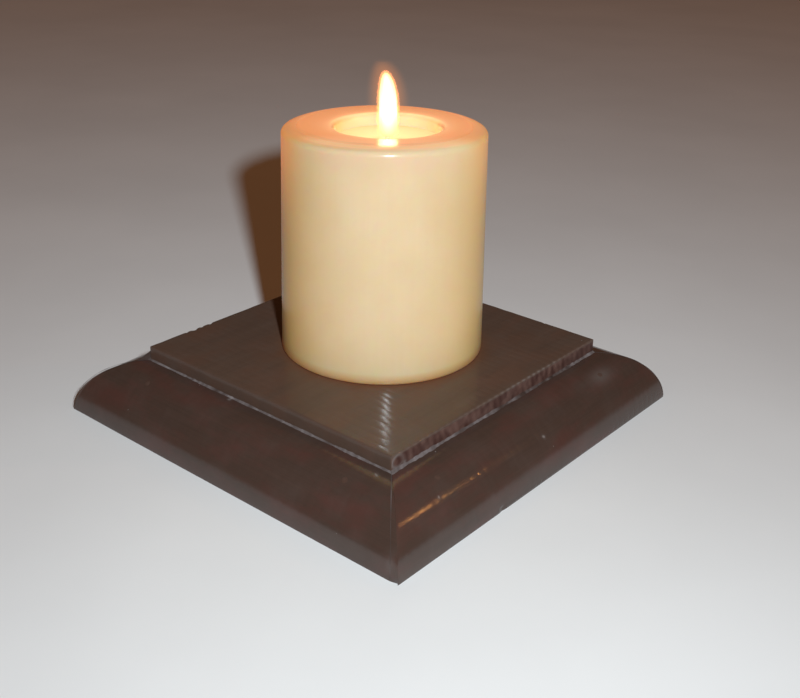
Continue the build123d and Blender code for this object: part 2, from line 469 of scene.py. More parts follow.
def glow_within(tree, source, near, reach):
    """A share that is whole up to a distance from the source and dies away beyond it, in mm."""
    share = placed(tree, glow, Source=source, Near=near * mm, Reach=reach * mm)["Glow"]
    return calc(tree, "MINIMUM", share, 1.0)

# %% [markdown]
# ## The stained wood
#
# The wood is so dark that its colour is hardly wood colour any more: two very dark browns,
# mixed along the grain. What makes it read as wood is its varnish. It mirrors the pale floor
# in the lower half of each moulding, and it ripples faintly where the cutters have passed.
# A single layer of gloss on the shader itself gives that. A clear coat over a glossy base
# would mirror twice. Under the candle's edge a ring of painted warm light, which stands for
# the light that the wax throws on the wood, fades both ways.

# %% A finish for stained wood
candle_seat = (candle_centre[0], candle_centre[1], board_top)


def stained_wood(name, dark, light, red, gloss, shine, ripple_depth, dust_film):
    """A varnished dark wood whose grain follows the piece."""
    material, tree, shader = finish(name, Specular_IOR_Level=shine)
    place = mark(tree, "grain_place", "Vector")
    figure = placed(tree, grain, Place=place, Figure=0.6)
    rippling = placed(tree, ripples, Place=place, Pitch=3.5 * mm)["Height"]
    dusty = placed(tree, dust, Place=place, Specks=0.55, Film=dust_film)["Mask"]
    worn = placed(tree, wear, Edge=mark(tree, "edge"), Place=place, Patch=700.0)["Mask"]
    painted_candle_glow = placed(tree, glow, Source=candle_seat, Near=candle_radius, Reach=2.5 * mm)["Glow"]
    # The painted glow is 1 at the candle's edge, so the smaller of it and its inverse makes a
    # ring of painted warm light.
    painted_warm_ring = calc(tree, "MINIMUM", painted_candle_glow, calc(tree, "DIVIDE", 1.0, painted_candle_glow))
    rough_sawn = mark(tree, "sawn")
    pale = calc(tree, "ADD", dusty, mark(tree, "haze"), clamp=True)

    stain = spread(tree, noise_at(tree, place, (40, 90, 90), 4.0, 0.6), 0.45, 0.65)
    blotch = spread(tree, noise_at(tree, place, (260, 200, 200), 3.0), 0.40, 0.62)
    ribbed = calc(tree, "MULTIPLY_ADD", mark(tree, "rib"), 0.32, times(tree, blotch, 0.62))
    sawn_colour = blend_colours(tree, ribbed, (0.050, 0.018, 0.015), (0.142, 0.076, 0.062))
    colour = blend_colours(tree, figure["Tone"], dark, light)
    # Painted shade: the mark called deep darkens the board's sides, all but the sawn right one.
    for share, most, over in (
            (stain, 1.0, red), (painted_warm_ring, 0.5, (0.16, 0.065, 0.024)),
            (mark(tree, "deep"), 0.3, (0.050, 0.028, 0.022)), (rough_sawn, 0.85, sawn_colour),
            (worn, 0.18, (0.10, 0.060, 0.050)), (pale, 1.0, (0.24, 0.22, 0.21))):
        colour = blend_colours(tree, times(tree, share, most), colour, over)

    roughness = calc(tree, "MULTIPLY_ADD", figure["Tone"], 0.06, gloss)
    roughness = calc(tree, "MULTIPLY_ADD", pale, 0.4, roughness)
    roughness = calc(tree, "MULTIPLY_ADD", rough_sawn, 0.35, roughness, clamp=True)

    height = times(tree, figure["Height"], 0.004 * mm)
    height = calc(tree, "MULTIPLY_ADD", rippling, ripple_depth, height)
    feed(tree, shader, Base_Color=colour, Roughness=roughness, Normal=bump(tree, height))
    return material

# %% The two wood finishes
strip_finish = stained_wood(
    "stained moulding", dark=(0.047, 0.0295, 0.023), light=(0.065, 0.0385, 0.030),
    red=(0.071, 0.0325, 0.026), gloss=0.13, shine=0.55, ripple_depth=0.020 * mm, dust_film=0.05)
board_finish = stained_wood(
    "stained board", dark=(0.082, 0.052, 0.039), light=(0.104, 0.067, 0.050),
    red=(0.104, 0.059, 0.042), gloss=0.072, shine=0.16, ripple_depth=0.030 * mm, dust_film=0.06)

# %% [markdown]
# ## The centre board
#
# The board is a square block whose top is the candle's seat. On the bench it is sawn, planed
# on top and only lightly sanded, so its top edge is slightly rounded and nicked, and its
# right side still shows the saw's upright ribs. A cube with a bevel would be too clean.
# Instead, square loops with tiny round corners rise up the sides, turn over the edge and
# close in on the middle, and the points near the edge are pushed in where it is worn.

# %% Square loops
def square_loop(points_per_side, corner):
    """Points round a square from -1 to 1, with small round corners."""
    along = np.linspace(-1 + corner, 1 - corner, points_per_side)
    turn = np.radians(np.linspace(-90, 0, 5)[1:-1])
    side = np.column_stack([along, -np.ones_like(along)])
    bend = np.column_stack([1 - corner + corner * np.cos(turn), -1 + corner + corner * np.sin(turn)])
    loop = np.vstack([side, bend])
    quarters = [loop]
    for _ in range(3):
        loop = np.column_stack([-loop[:, 1], loop[:, 0]])
        quarters.append(loop)
    return np.vstack(quarters)


sides = {"front": 0, "right": 1, "back": 2, "left": 3}  # quarter turns, anticlockwise from the front


def side_frame(points):
    """For points of a square block: the side they are nearest, how far out and how far along."""
    x, y = points[..., 0], points[..., 1]
    reaches = np.stack([-y, x, y, -x])
    runs = np.stack([x, y, -x, -y])
    nearest = reaches.argmax(0)
    reach, run = (np.take_along_axis(values, nearest[None], 0)[0] for values in (reaches, runs))
    return nearest, reach, run


def of_side(name, rows):
    """The rows of a list that belong to one side, without its name."""
    return [row[1:] for row in rows if row[0] == name]

# %% Board loops
arris = 0.35 * mm
board_outline = square_loop(200, 0.006)
side_heights = np.concatenate([[0, 0.6 * strip_top, strip_top - 1.0 * mm],
                               np.arange(strip_top - 0.5 * mm, board_top - arris, 0.45 * mm)])
turn = np.radians(np.linspace(0, 90, 6))
top_insets = np.array([0.6, 0.9, 1.3, 1.9, 2.8, 4.5, 8, 14, 22, 32, 42, 50, 55.5]) * mm
insets = np.concatenate([0 * side_heights, arris * (1 - np.cos(turn)), top_insets])
heights = np.concatenate([side_heights, board_top - arris * (1 - np.sin(turn)), board_top + 0 * top_insets])
board = np.zeros((len(insets), len(board_outline), 3))
board[..., :2] = board_outline * (board_half - insets)[:, None, None]
board[..., 2] = heights[:, None]
grain_place = board[..., [1, 0, 2]].copy()
print("board:", board.shape[0], "loops of", board.shape[1], "points")

# %% Nicks and worn edges
# The side, place along it, width and depth of each nick, in mm.
nicks = [("left", 29, 1.6, 0.45), ("left", 33, 1.0, 0.35), ("left", 36.5, 2.0, 0.55),
         ("left", 40, 0.9, 0.3), ("front", -31, 0.8, 0.22), ("front", 12, 0.7, 0.2),
         ("right", 30, 1.1, 0.25), ("right", -9, 0.7, 0.2), ("back", 22, 1.2, 0.3),
         ("back", -35, 0.9, 0.25)]
side, reach, run = side_frame(board)
edge_distance = np.hypot(board_half - reach, board_top - board[..., 2])
line = np.stack([run, side * 0.2, 0 * run], -1)
depth = 0.10 * mm * (1 + wander(line, 5 * mm)) * hump(edge_distance, 0.7 * mm)
for name, place, width, deep in nicks:
    hit = (side == sides[name]) * hump(run - place * mm, width * mm / 2)
    depth += deep * mm * hit * hump(edge_distance, 0.8 * mm)
outwards = np.array([(0, -1), (1, 0), (0, 1), (-1, 0)])[side]
slant = 0.7  # an edge is pushed in at about 45 degrees
board[..., :2] -= outwards * (slant * depth)[..., None]
board[..., 2] -= slant * depth
print("deepest nick", round(1000 * depth.max(), 2), "mm")

# %% Saw ribs and pale marks
rib_pitch, rib_depth, rib_slant = 3.2 * mm, 0.05 * mm, 0.35
on_side = (insets[:, None] < arris) & (board[..., 2] > 0.1 * mm)
on_right = side == sides["right"]
sawn = np.where(on_right, 1.0, 0.0) * on_side
rib_turns = (run + rib_slant * board[..., 2]) / rib_pitch + 0.5 * wander(line, 14 * mm, 3)
rib = 0.5 + 0.5 * np.sin(2 * pi * rib_turns)
board[..., :2] -= outwards * (rib_depth * sawn**2 * (1 - rib))[..., None]
edge_mark = hump(edge_distance, 0.55 * mm)
# Pale ends of the ribs along the arris, and a pale ring with a spot by the front-right corner.
rib_ends = (0.08 + 0.34 * hump(run - 15 * mm, 18 * mm)) * on_right * rib * hump(edge_distance, 0.5 * mm)
ring_run, ring_height, ring_radius, ring_line = -53.8 * mm, 21.9 * mm, 1.95 * mm, 0.42 * mm
off_ring = run - ring_run
ring_distance = np.hypot(off_ring / 1.3, board[..., 2] - ring_height)
ring_mark = 0.45 * on_right * hump(ring_distance - ring_radius, ring_line)
ring_mark *= np.clip(0.8 - off_ring / (5 * mm), 0.35, 1)  # strongest towards the corner
spot_run, spot_height, spot_size = -50.6 * mm, 20.2 * mm, 0.7 * mm
ring_mark += 0.5 * on_right * hump(np.hypot(run - spot_run, board[..., 2] - spot_height), spot_size)
# The mark called deep is painted shade on the board's sides, all but the sawn right one.
centre_board = skin("dressed_board", board, crease=50, marks={
    "grain_place": grain_place, "edge": edge_mark, "sawn": sawn * (edge_distance > 0.6 * mm),
    "rib": rib, "haze": rib_ends + ring_mark, "deep": on_side * (1.0 - on_right)})
dress(centre_board, "plinth", "stained_wood", board_finish, "centre_board")

# %% [markdown]
# ## The mitred mouldings
#
# Four strips of quarter-round edge the board. Their section is an arc that leaves the board
# level and comes down to the plinth's bottom edge. A bevelled square would give the outline,
# but not the joints, so each strip is its own piece. Its sections run from one mitre to the
# other, and each point's place along the strip is a share of its own distance from the
# middle, which cuts the ends at 45 degrees by itself.

# %% Section of the quarter-round
reach_out = plinth_half - board_half
arc_radius = (reach_out**2 + strip_top**2) / (2 * strip_top)
arc_centre = strip_top - arc_radius
foot = 0.12 * mm
last_angle = np.arccos((foot - arc_centre) / arc_radius)
arc_angles = np.linspace(0, last_angle, 44)


def on_round(angle, proud=0.0):
    """How far out and how high the quarter-round is, at an angle from its top."""
    radius = arc_radius + proud
    return board_half + radius * np.sin(angle), arc_centre + radius * np.cos(angle)


def quarter_turns(points, count):
    """Points turned about the plinth's middle by a number of quarter turns."""
    points = points.copy()
    for _ in range(count):
        points = np.stack([-points[..., 1], points[..., 0], points[..., 2]], -1)
    return points


print(f"quarter-round: radius {1000 * arc_radius:.2f} mm, reach {1000 * reach_out:.2f} mm")

# %% Chips and hazy spots on the strips
# The side, place along it, angle down the section, width and depth of each chip, in mm and degrees.
chips = [("right", -26.7, 84, 1.2, 0.45), ("front", 76.4, 86, 1.6, 0.6), ("front", -20, 84, 0.8, 0.2),
         ("left", 12, 84, 1.4, 0.35), ("back", -48, 84, 1.0, 0.3), ("front", 43, 84, 0.7, 0.18),
         ("front", -72, 58, 13.0, 0.42), ("left", 72, 58, 13.0, 0.42),
         ("left", 76, 74, 7.0, 0.25), ("left", 66, 32, 9.0, 0.35), ("front", -66, 32, 9.0, 0.35)]
# The same places for hazy spots, then their length, their height up the section and their strength.
hazes = [("right", 46.5, 29, 6.5, 3.0, 0.20), ("right", 2.3, 48, 0.6, 0.5, 0.7),
         ("right", -51, 42, 0.4, 0.4, 0.6), ("front", 53.7, 10, 0.6, 0.5, 0.7),
         ("front", -13.5, 3, 0.7, 0.5, 0.8), ("left", -20, 30, 2.0, 1.2, 0.25),
         ("front", 73, 72, 1.3, 3.0, 0.09)]
print(len(chips), "chips and", len(hazes), "hazy spots")

# %% Strips
mitre_gap, chamfer, sole_inset = 0.04 * mm, 0.03 * mm, 0.15 * mm
shares = np.linspace(-1, 1, 321)


def moulding_strip(name, count):
    """One mitred strip, with its waves, chips and marks."""
    outs, ups = on_round(arc_angles)
    outs = np.concatenate([outs, outs[-1:] - chamfer, outs[-1:] - sole_inset, [board_half, board_half]])
    ups = np.concatenate([ups, [chamfer, 0, 0, strip_top]])
    rounded = np.concatenate([np.ones(len(arc_angles)), [1, 1, 0, 0]])
    angles = np.concatenate([arc_angles, [last_angle] * 4])
    out = np.broadcast_to(outs, (len(shares), len(outs))).copy()
    up = np.broadcast_to(ups, out.shape).copy()
    place = shares[:, None] * (out - mitre_gap)
    spot = np.stack([place, angles * arc_radius + 0 * place, 0 * place + 0.3 * count], -1)

    push = 0.05 * mm * wander(spot, 22 * mm) + 0.012 * mm * wander(spot, 4 * mm, 1)
    to_mitre = (1 - np.abs(shares))[:, None] * out
    push -= 0.05 * mm * hump(to_mitre, 0.5 * mm) * (1 + wander(spot, 2.5 * mm, 5))
    for along, angle, width, deep in of_side(name, chips):
        off = np.hypot(place - along * mm, (angles - radians(angle)) * arc_radius * 1.5)
        push -= deep * mm * hump(off, width * mm)
    push *= rounded
    out += push * np.sin(angles)
    up = np.maximum(up + push * np.cos(angles), 0)
    haze = 0 * out
    for along, angle, long, high, strength in of_side(name, hazes):
        off_along = (place - along * mm) / (long * mm)
        off_down = (angles - radians(angle)) * arc_radius / (high * mm)
        haze += strength * hump(np.hypot(off_along, off_down), 1.0) * rounded
    foot_distance = np.hypot(out - outs[len(arc_angles) - 1], up)
    edge = np.maximum(hump(foot_distance, 0.5 * mm), 0.35 * hump(to_mitre, 0.35 * mm)) * rounded
    points = quarter_turns(np.stack([place, -out, up], -1), count)
    none = 0 * edge
    piece = skin(f"dressed_{name}_moulding", points, crease=40, marks={
        "grain_place": spot, "edge": edge, "sawn": none, "rib": none, "haze": haze, "deep": none})
    dress(piece, "plinth", "stained_wood", strip_finish, f"{name}_moulding")


for name, count in sides.items():
    moulding_strip(name, count)

# %% [markdown]
# ## The glue bead
#
# Where the mouldings meet the board's side, glue and filler have squeezed out, and were wiped
# to a thin, pale, uneven bead. A little more has dried in the mitres. The bead is one closed
# ring: its hollow section runs round all four sides, and its size wanders on the way, so that
# it is full in some places and nearly gone in others.

# %% Glue finish
glue_finish, tree, shader = finish("dried glue", Specular_IOR_Level=0.1)
place = mark(tree, "grain_place", "Vector")
patches = spread(tree, noise_at(tree, place, 260.0, 4.0, 0.65), 0.34, 0.66)
patchy = calc(tree, "MULTIPLY_ADD", patches, 0.7, 0.65)
thick = times(tree, mark(tree, "pale"), patchy, clamp=True)
colour = blend_colours(tree, thick, (0.046, 0.029, 0.024), (0.215, 0.185, 0.185))
feed(tree, shader, Base_Color=dusted(tree, place, colour, 0.4, 0.05, (0.33, 0.31, 0.31)),
     Roughness=calc(tree, "MULTIPLY_ADD", patches, 0.25, 0.4),
     Normal=bump(tree, noise_at(tree, place, 900.0, 3.0), 0.08 * mm))

# %% Bead round the joint
bead_leg, overlap = 0.9 * mm, 0.15 * mm  # its size, and how far it reaches into the wood
# The side, place along it, length and strength of the palest stretches, in mm.
pale_runs = [("front", -46, 9, 0.4), ("front", -13.5, 2, 0.6), ("front", 20, 70, 0.38),
             ("right", -44, 20, 0.5), ("right", -10, 12, 0.3), ("right", 50, 12, 0.45),
             ("back", -20, 20, 0.4)]
lump_run = 56.4 * mm  # a lump of glue fills the board's front-left corner
bead_steps = np.linspace(-1, 1, 321)[:-1]
hollow = np.radians(np.linspace(0, 90, 6))
bead_sections, bead_pale = [], []
for name, count in sides.items():
    run = bead_steps * board_half
    line = np.stack([run, 0 * run + count * 0.05, 0 * run], -1)
    pale = 0.12 + 0.16 * wander(line, 9 * mm, 12) + 0.30 * wander(line, 1.8 * mm, 14)
    for along, length, strength in of_side(name, pale_runs):
        pale += strength * hump(run - along * mm, length * mm)
    size = 0.72 + 0.36 * wander(line, 7 * mm, 8) + 0.34 * wander(line, 1.6 * mm, 9)
    size = bead_leg * np.clip(size, 0.3, 1.1)
    if name == "left":
        size += 2.9 * mm * hump(run - lump_run, 2.0 * mm)
        pale -= 0.5 * hump(run - lump_run, 4 * mm)
    if name == "right":
        size *= 1 + 0.2 * hump(run + 45 * mm, 16 * mm)
    if name == "front":
        size *= 0.82
    out = np.concatenate([[0], 1 - np.sin(hollow), [1, 0]])[None] * size[:, None] + board_half
    up = np.concatenate([[1], 1 - np.cos(hollow), [0, 0]])[None] * size[:, None]
    out = np.column_stack([out[:, :1] - overlap, out[:, 1:-1], out[:, -1:] - overlap])
    lower = np.interp(out, *on_round(np.linspace(0, 0.2, 9)))
    up = lower + np.column_stack([up[:, :-2], up[:, -2:] - overlap])
    points = np.stack([bead_steps[:, None] * out, -out, up], -1)
    bead_sections.append(quarter_turns(points, count))
    bead_pale.append(pale)
bead = np.concatenate(bead_sections)
glue_bead = skin("squeezed_glue", bead, ring=True, crease=60, marks={
    "grain_place": bead, "pale": np.concatenate(bead_pale)})
dress(glue_bead, "plinth", "dried_glue", glue_finish, "glue_bead")

# %% Glue in the mitres
bead_angles = np.linspace(0.03, last_angle - 0.02, 90)
mitre_bead, flatness = 0.12 * mm, 0.6
round_about = np.radians(np.arange(0, 360, 45))
for name, count in sides.items():
    out, up = on_round(bead_angles)
    astray = 3.0 * mm if name == "front" else 0.0  # here the line of glue strays from the mitre
    ridge = np.stack([out - astray * (out - board_half) / reach_out, -out, up], -1)
    along = np.gradient(ridge, axis=0)
    along /= np.linalg.norm(along, axis=1, keepdims=True)
    across = np.array([1, 1, 0]) / sqrt(2)
    upright = np.cross(across, along)
    size = mitre_bead * np.clip(0.8 + 0.5 * wander(ridge + 0.4 * count, 4 * mm, 11), 0.35, 1.2)
    size[[0, -1]] *= 0.2
    ring = np.cos(round_about)[None, :, None] * across
    ring = ring + np.sin(round_about)[None, :, None] * upright[:, None] * flatness
    points = quarter_turns(ridge[:, None] + size[:, None, None] * ring, count)
    pale = 0.02 + 0.25 * wander(ridge + 0.2 * count, 5 * mm, 13)
    pale += 0.35 * hump(up - 17 * mm, 2.5 * mm) + 0.25 * hump(up - 3.5 * mm, 1.5 * mm)
    mitre_line = skin(f"mitre_glue_{name}", points, marks={"grain_place": points, "pale": pale})
    dress(mitre_line, "plinth", "dried_glue", glue_finish)

# %% [markdown]
# ## Filled pin holes and the pins themselves
#
# Eight steel pins hold the strips on. Their heads are sunk, and the holes are filled and
# stained over, so a low, slightly dull lens is all that shows. The pins are hidden, so the
# frame's own pins stay, and only get a steel finish in case the plinth is taken apart.

# %% Filler finish
filler_finish, tree, shader = finish("stained filler")
place = mark(tree, "grain_place", "Vector")
crumbs = noise_at(tree, place, 1500.0, 4.0, 0.6)
colour = blend_colours(tree, crumbs, (0.058, 0.032, 0.024), (0.082, 0.046, 0.035))
feed(tree, shader, Base_Color=dusted(tree, place, colour, 0.4, 0.2, (0.2, 0.18, 0.17)),
     Roughness=spread(tree, crumbs, 0.3, 0.7, 0.15, 0.25),
     Normal=bump(tree, crumbs, 0.01 * mm))

# %% Filler over the pins
pin_spread, filler_radius = 46.5 * mm, 1.15 * mm
pin_angle = np.arcsin(9.5 * mm / arc_radius)
# Each ring of a filled hole: its share of the radius, and how proud of the wood it is, in mm.
dab_rings = [(0.05, -0.6), (0.9, -0.6), (1.0, -0.06), (0.85, 0.01), (0.5, 0.02), (0.2, 0.025),
             (0.03, 0.025)]
round_about = np.radians(np.arange(0, 360, 15))
for name, count in sides.items():
    for end, pin_place in (("left", -pin_spread), ("right", pin_spread)):
        dab = []
        for share, proud in dab_rings:
            lump = 1 + 0.10 * np.sin(2 * round_about + count) + 0.05 * np.sin(5 * round_about + 2 * count)
            radius = filler_radius * share * lump
            run = pin_place + radius * np.cos(round_about)
            out, up = on_round(pin_angle + radius * np.sin(round_about) / arc_radius, proud * mm)
            dab.append(np.stack([run, -out, up], -1))
        dab = quarter_turns(np.array(dab), count)
        filler = skin(f"filler_{name}_{end}", dab, marks={"grain_place": dab})
        dress(filler, "plinth", "wood_filler", filler_finish, "pin_filler")

# %% Steel of the pins and tin of the wick's tab
def plain_metal(name, bright, dull, roughness):
    """A drawn or rolled metal with a slightly uneven, brushed face."""
    material, tree, shader = finish(name, Metallic=1.0)
    place = own_place(tree)
    streaks = noise_at(tree, place, (900, 900, 120), 3.0)
    colour = blend_colours(tree, streaks, bright, dull)
    feed(tree, shader, Base_Color=dusted(tree, place, colour, 0.2, 0.15, (0.3, 0.28, 0.25)),
         Roughness=calc(tree, "MULTIPLY_ADD", streaks, 0.2, roughness),
         Normal=bump(tree, streaks, 0.004 * mm))
    return material


def repaint(name, material):
    """Puts a finish in every material slot of one of the frame's own nodes."""
    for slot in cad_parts[name].material_slots:
        slot.material = material
    print(name, "keeps its shape, in", material.name)


repaint("panel_pins", plain_metal("pin steel", (0.58, 0.58, 0.57), (0.42, 0.42, 0.42), 0.25))
repaint("wick_sustainer", plain_metal("tinned steel", (0.72, 0.72, 0.70), (0.55, 0.55, 0.54), 0.22))

# %% [markdown]
# ## The wax
#
# A pillar candle is cast, so it is round to a hair, with a soft edge at its foot and a tight
# one at its rim. Its top is level out to a crest and then falls away. The flame has melted a
# shallow well in the middle, with a soft, slightly wandering lip. All of it is one profile
# turned round the candle's axis, except that the well is turned round the wick's axis, which
# is a millimetre off. So each ring has its own centre.
#
# Wax lets light in, so the shader scatters a little of it below the surface. Near the flame
# the wax glows deep orange. Scattering alone would need very many samples to show that, so a
# glow that dies away with distance from the flame's foot is added as emission.
#
# How wax looks also depends on where it lies: wet on the level top, or sunk inside the lip,
# where its painted glow is deeper. Other marks place painted light and shade: painted key
# light on the fore part of the crest, painted glow at the wall's brink, painted shade on the
# front of its brow and at the foot, and deeper painted shade on the flank that is turned from
# the warm lamp. The mesh stores a mark for each, and the shader reads them.

# %% Colour of the wax
source_height = candle_top + 1 * mm
glow_shift = np.array([-2.7, 1.6]) * mm  # the orange lies a little behind the flame, to its left
flame_source, glow_source = (*wick_centre, source_height), (*(wick_centre + glow_shift), source_height)
wax_finish, tree, shader = finish(
    "ivory wax", Subsurface_Weight=1.0, Subsurface_Radius=(1.0, 0.4, 0.15),
    Subsurface_Scale=14 * mm, IOR=1.44, Specular_IOR_Level=0.25, Emission_Strength=1.0)
place = own_place(tree)
painted_foot_shade_and_glow, wet = mark(tree, "foot"), mark(tree, "wet")
clouds = spread(tree, noise_at(tree, place, 60.0, 3.0), 0.3, 0.7)
streaks = noise_at(tree, place, (500, 500, 25), 3.0)
streaky = spread(tree, streaks, 0.4, 0.7, 0.0, 0.12)
colour = blend_colours(tree, clouds, (0.65, 0.49, 0.295), (0.68, 0.525, 0.335))
colour = blend_colours(tree, streaky, colour, (0.62, 0.45, 0.25))
colour = dusted(tree, place, colour, 0.12, 0.0, (0.45, 0.33, 0.2))
# Painted shade: side-on the wax turns a deeper orange, and more so on the left flank, which is turned from
# the warm lamp.
painted_flank_colour = blend_colours(tree, mark(tree, "flank"), (0.735, 0.48, 0.20), (0.69, 0.41, 0.145))
colour = blend_colours(tree, side_on(tree, 0.10, 0.65), colour, painted_flank_colour)
# Painted shade: just above its foot the wax is painted darker and more orange.
colour = blend_colours(tree, painted_foot_shade_and_glow, colour, (0.62, 0.26, 0.09))
# Painted shade: the front of the wall's brow, just under the rim, is painted pinker and darker.
colour = blend_colours(tree, times(tree, mark(tree, "brow"), 0.5), colour, (0.62, 0.40, 0.28))
print("its colour takes", len(tree.nodes), "nodes")

# %% Glow and gloss of the wax
# All of this is painted glow: emission that stands in for light in and on the wax. At a low
# angle, wax shows more of the light that is inside it, so the glow grows side-on. First the
# orange round the flame, then painted key light on the fore crest, an orange glow at the
# wall's brink, a little at the foot, and the glow in the well.
painted_warm_share = times(tree, glow_within(tree, glow_source, 28.5, 6), side_on(tree, 0.35, 0.68))
painted_warm_share = times(tree, painted_warm_share, side_on(tree, 0.755, 0.84, 0.82, 1.0))
painted_glow_colour = blend_colours(tree, painted_warm_share, (0, 0, 0), (1.00, 0.34, 0.145))
painted_key_light = times(tree, glow_within(tree, flame_source, 32.2, 1.6), mark(tree, "fore"))
painted_glow_colour = add_colour(tree, painted_key_light, painted_glow_colour, (0.13, 0.19, 0.14))
painted_brink_glow = times(tree, glow_within(tree, flame_source, 37, 9), side_on(tree, 0.35, 0.85))
painted_brink_glow = times(tree, painted_brink_glow, mark(tree, "wall"))
painted_glow_colour = add_colour(tree, painted_brink_glow, painted_glow_colour, (0.21, 0.045, 0.0))
painted_glow_colour = add_colour(tree, painted_foot_shade_and_glow, painted_glow_colour, (0.05, 0.0, 0.0))
painted_well_glow = blend_colours(tree, mark(tree, "sunk"), (0.98, 0.51, 0.26), (0.51, 0.19, 0.088))
painted_glow_colour = blend_colours(tree, glow_within(tree, flame_source, 19, 3), painted_glow_colour, painted_well_glow)

roughness = calc(tree, "MULTIPLY_ADD", streaks, 0.08, 0.48)
roughness = calc(tree, "MULTIPLY_ADD", wet, -0.44, roughness, clamp=True)
height = times(tree, noise_at(tree, place, 700.0, 3.0), calc(tree, "SUBTRACT", 1.0, wet))
feed(tree, shader, Base_Color=colour, Roughness=roughness, Emission_Color=painted_glow_colour,
     Coat_Weight=calc(tree, "MULTIPLY_ADD", wet, 0.45, 0.5),
     Coat_Roughness=spread(tree, wet, 0, 1, 0.17, 0.05),
     Normal=bump(tree, height, 0.006 * mm))
print("the whole finish takes", len(tree.nodes), "nodes")

# %% Sizes of the wax's profile
crest_radius, shoulder_slope, rim_round, foot_round = 27 * mm, radians(18), 1.8 * mm, 0.8 * mm
draft = radians(1.1)  # how far the wall leans in towards the rim
wall_height = candle_top - candle_foot - 3.5 * mm  # near enough, for so slight a draft
rim_radius = candle_radius - wall_height * tan(draft)
shoulder_arc = (rim_radius - crest_radius - rim_round * (1 - sin(shoulder_slope))) / sin(shoulder_slope)
shoulder_drop = shoulder_arc * (1 - cos(shoulder_slope))
well_radius, lip_edge, lip_round = 18.6 * mm, 19.6 * mm, 2.0 * mm
bore, tab_radius, neck_radius = 0.93 * mm, 9.1 * mm, 1.36 * mm
tab_top, neck_top = candle_foot + 0.45 * mm, candle_foot + 6.1 * mm
flat_radius = 6 * mm  # of the well's floor


def dish(degrees):
    """Rings of the well's floor, at angles from its wall, as distances and heights."""
    for turn in np.radians(degrees):
        across = flat_radius + (pool_radius - flat_radius) * cos(turn)
        yield across, pool_level - (pool_level - pool_floor) * sin(turn)


print("the top falls away over", round(1000 * shoulder_arc, 1), "mm, by", round(1000 * shoulder_drop, 2))

# %% Rings of the wax
# Each ring: its share of the way from the wick's axis to the candle's, its radius and its height.
rings = [(0, bore, neck_top), (0, neck_radius, neck_top), (0, neck_radius, tab_top),
         (0, tab_radius, tab_top), (0, tab_radius, candle_foot), (0.3, 14 * mm, candle_foot),
         (1, 24 * mm, candle_foot), (1, 30 * mm, candle_foot)]
for turn in np.radians(np.linspace(0, 90, 6)):
    radius = candle_radius - foot_round * (1 - sin(turn))
    rings.append((1, radius, candle_foot + foot_round * (1 - cos(turn))))
wall_top = candle_top - shoulder_drop - rim_round * cos(shoulder_slope)
for height in np.linspace(candle_foot + foot_round, wall_top, 26)[1:-1]:
    rings.append((1, rim_radius + (wall_top - height) * tan(draft), height))
for turn in np.linspace(0, pi / 2 - shoulder_slope, 10):
    rings.append((1, rim_radius - rim_round * (1 - cos(turn)), wall_top + rim_round * sin(turn)))
for turn in np.linspace(shoulder_slope, 0, 14)[1:]:
    rings.append((1, crest_radius + shoulder_arc * sin(turn), candle_top - shoulder_arc * (1 - cos(turn))))
for radius in (25.8 * mm, 24.5 * mm, 23 * mm, 21.5 * mm, 20.4 * mm):
    rings.append(((radius - lip_edge) / (crest_radius - lip_edge), radius, candle_top))
for turn in np.radians(np.linspace(0, 75, 9)):
    rings.append((0, lip_edge - lip_round * sin(turn), candle_top - lip_round * (1 - cos(turn))))
_, lip_radius, lip_height = rings[-1]
for share in np.linspace(0, 1, 7)[1:]:
    radius = lip_radius + (pool_radius - lip_radius) * share
    rings.append((0, radius, lip_height + (pool_level - lip_height) * share))
rings += [(0, radius, height) for radius, height in dish(np.linspace(15, 90, 6))]
rings += [(0, bore, height) for height in np.linspace(pool_floor, neck_top, 8)[:-1]]
print(len(rings), "rings from the bore, round the outside and back")

# %% Turning the rings
def turned(centres, radius, height, angles):
    """Level rings with the given centres, radii and heights, and a point at each angle."""
    spokes = np.stack([np.cos(angles), np.sin(angles)], -1)
    loops = np.zeros((len(radius), len(angles), 3))
    loops[..., :2] = centres + radius[:, None, None] * spokes
    loops[..., 2] = height[:, None]
    return loops


spin = np.radians(np.arange(0, 360, 1.875))
share, radius, height = np.array(rings).T
centres = wick_centre + share[:, None] * (candle_centre - wick_centre)
wax = turned(centres[:, None], radius, height, spin)
spokes = np.stack([np.cos(spin), np.sin(spin)], -1)
direction = np.column_stack([spokes, 0 * spin])
print("wax:", wax.shape[0], "loops of", wax.shape[1], "points")

# %% Unevenness of the wax
# The lip wanders in and out, and a little up and down. The top and the wall sag slightly.
shown = height > pool_level - 0.1 * mm
near_lip = hump(np.hypot(radius - well_radius, height - candle_top), 2.2 * mm) * shown
lip_wander = 0.30 * mm * wander(direction, 0.45, 2) + 0.10 * mm * wander(direction, 0.12, 4)
wax[..., :2] += near_lip[:, None, None] * lip_wander[None, :, None] * spokes
wax[..., 2] += near_lip[:, None] * 0.10 * mm * wander(direction, 0.5, 6)[None]
outer = np.clip((radius - 22 * mm) / (10 * mm), 0, 1) * (height > candle_foot + 2 * mm)
sag = wander(np.stack([wax[..., 0], wax[..., 1], wax[..., 2] * 0.4], -1), 18 * mm, 7)
wax[..., :2] += (outer[:, None] * 0.06 * mm * (sag - 0.6))[..., None] * spokes
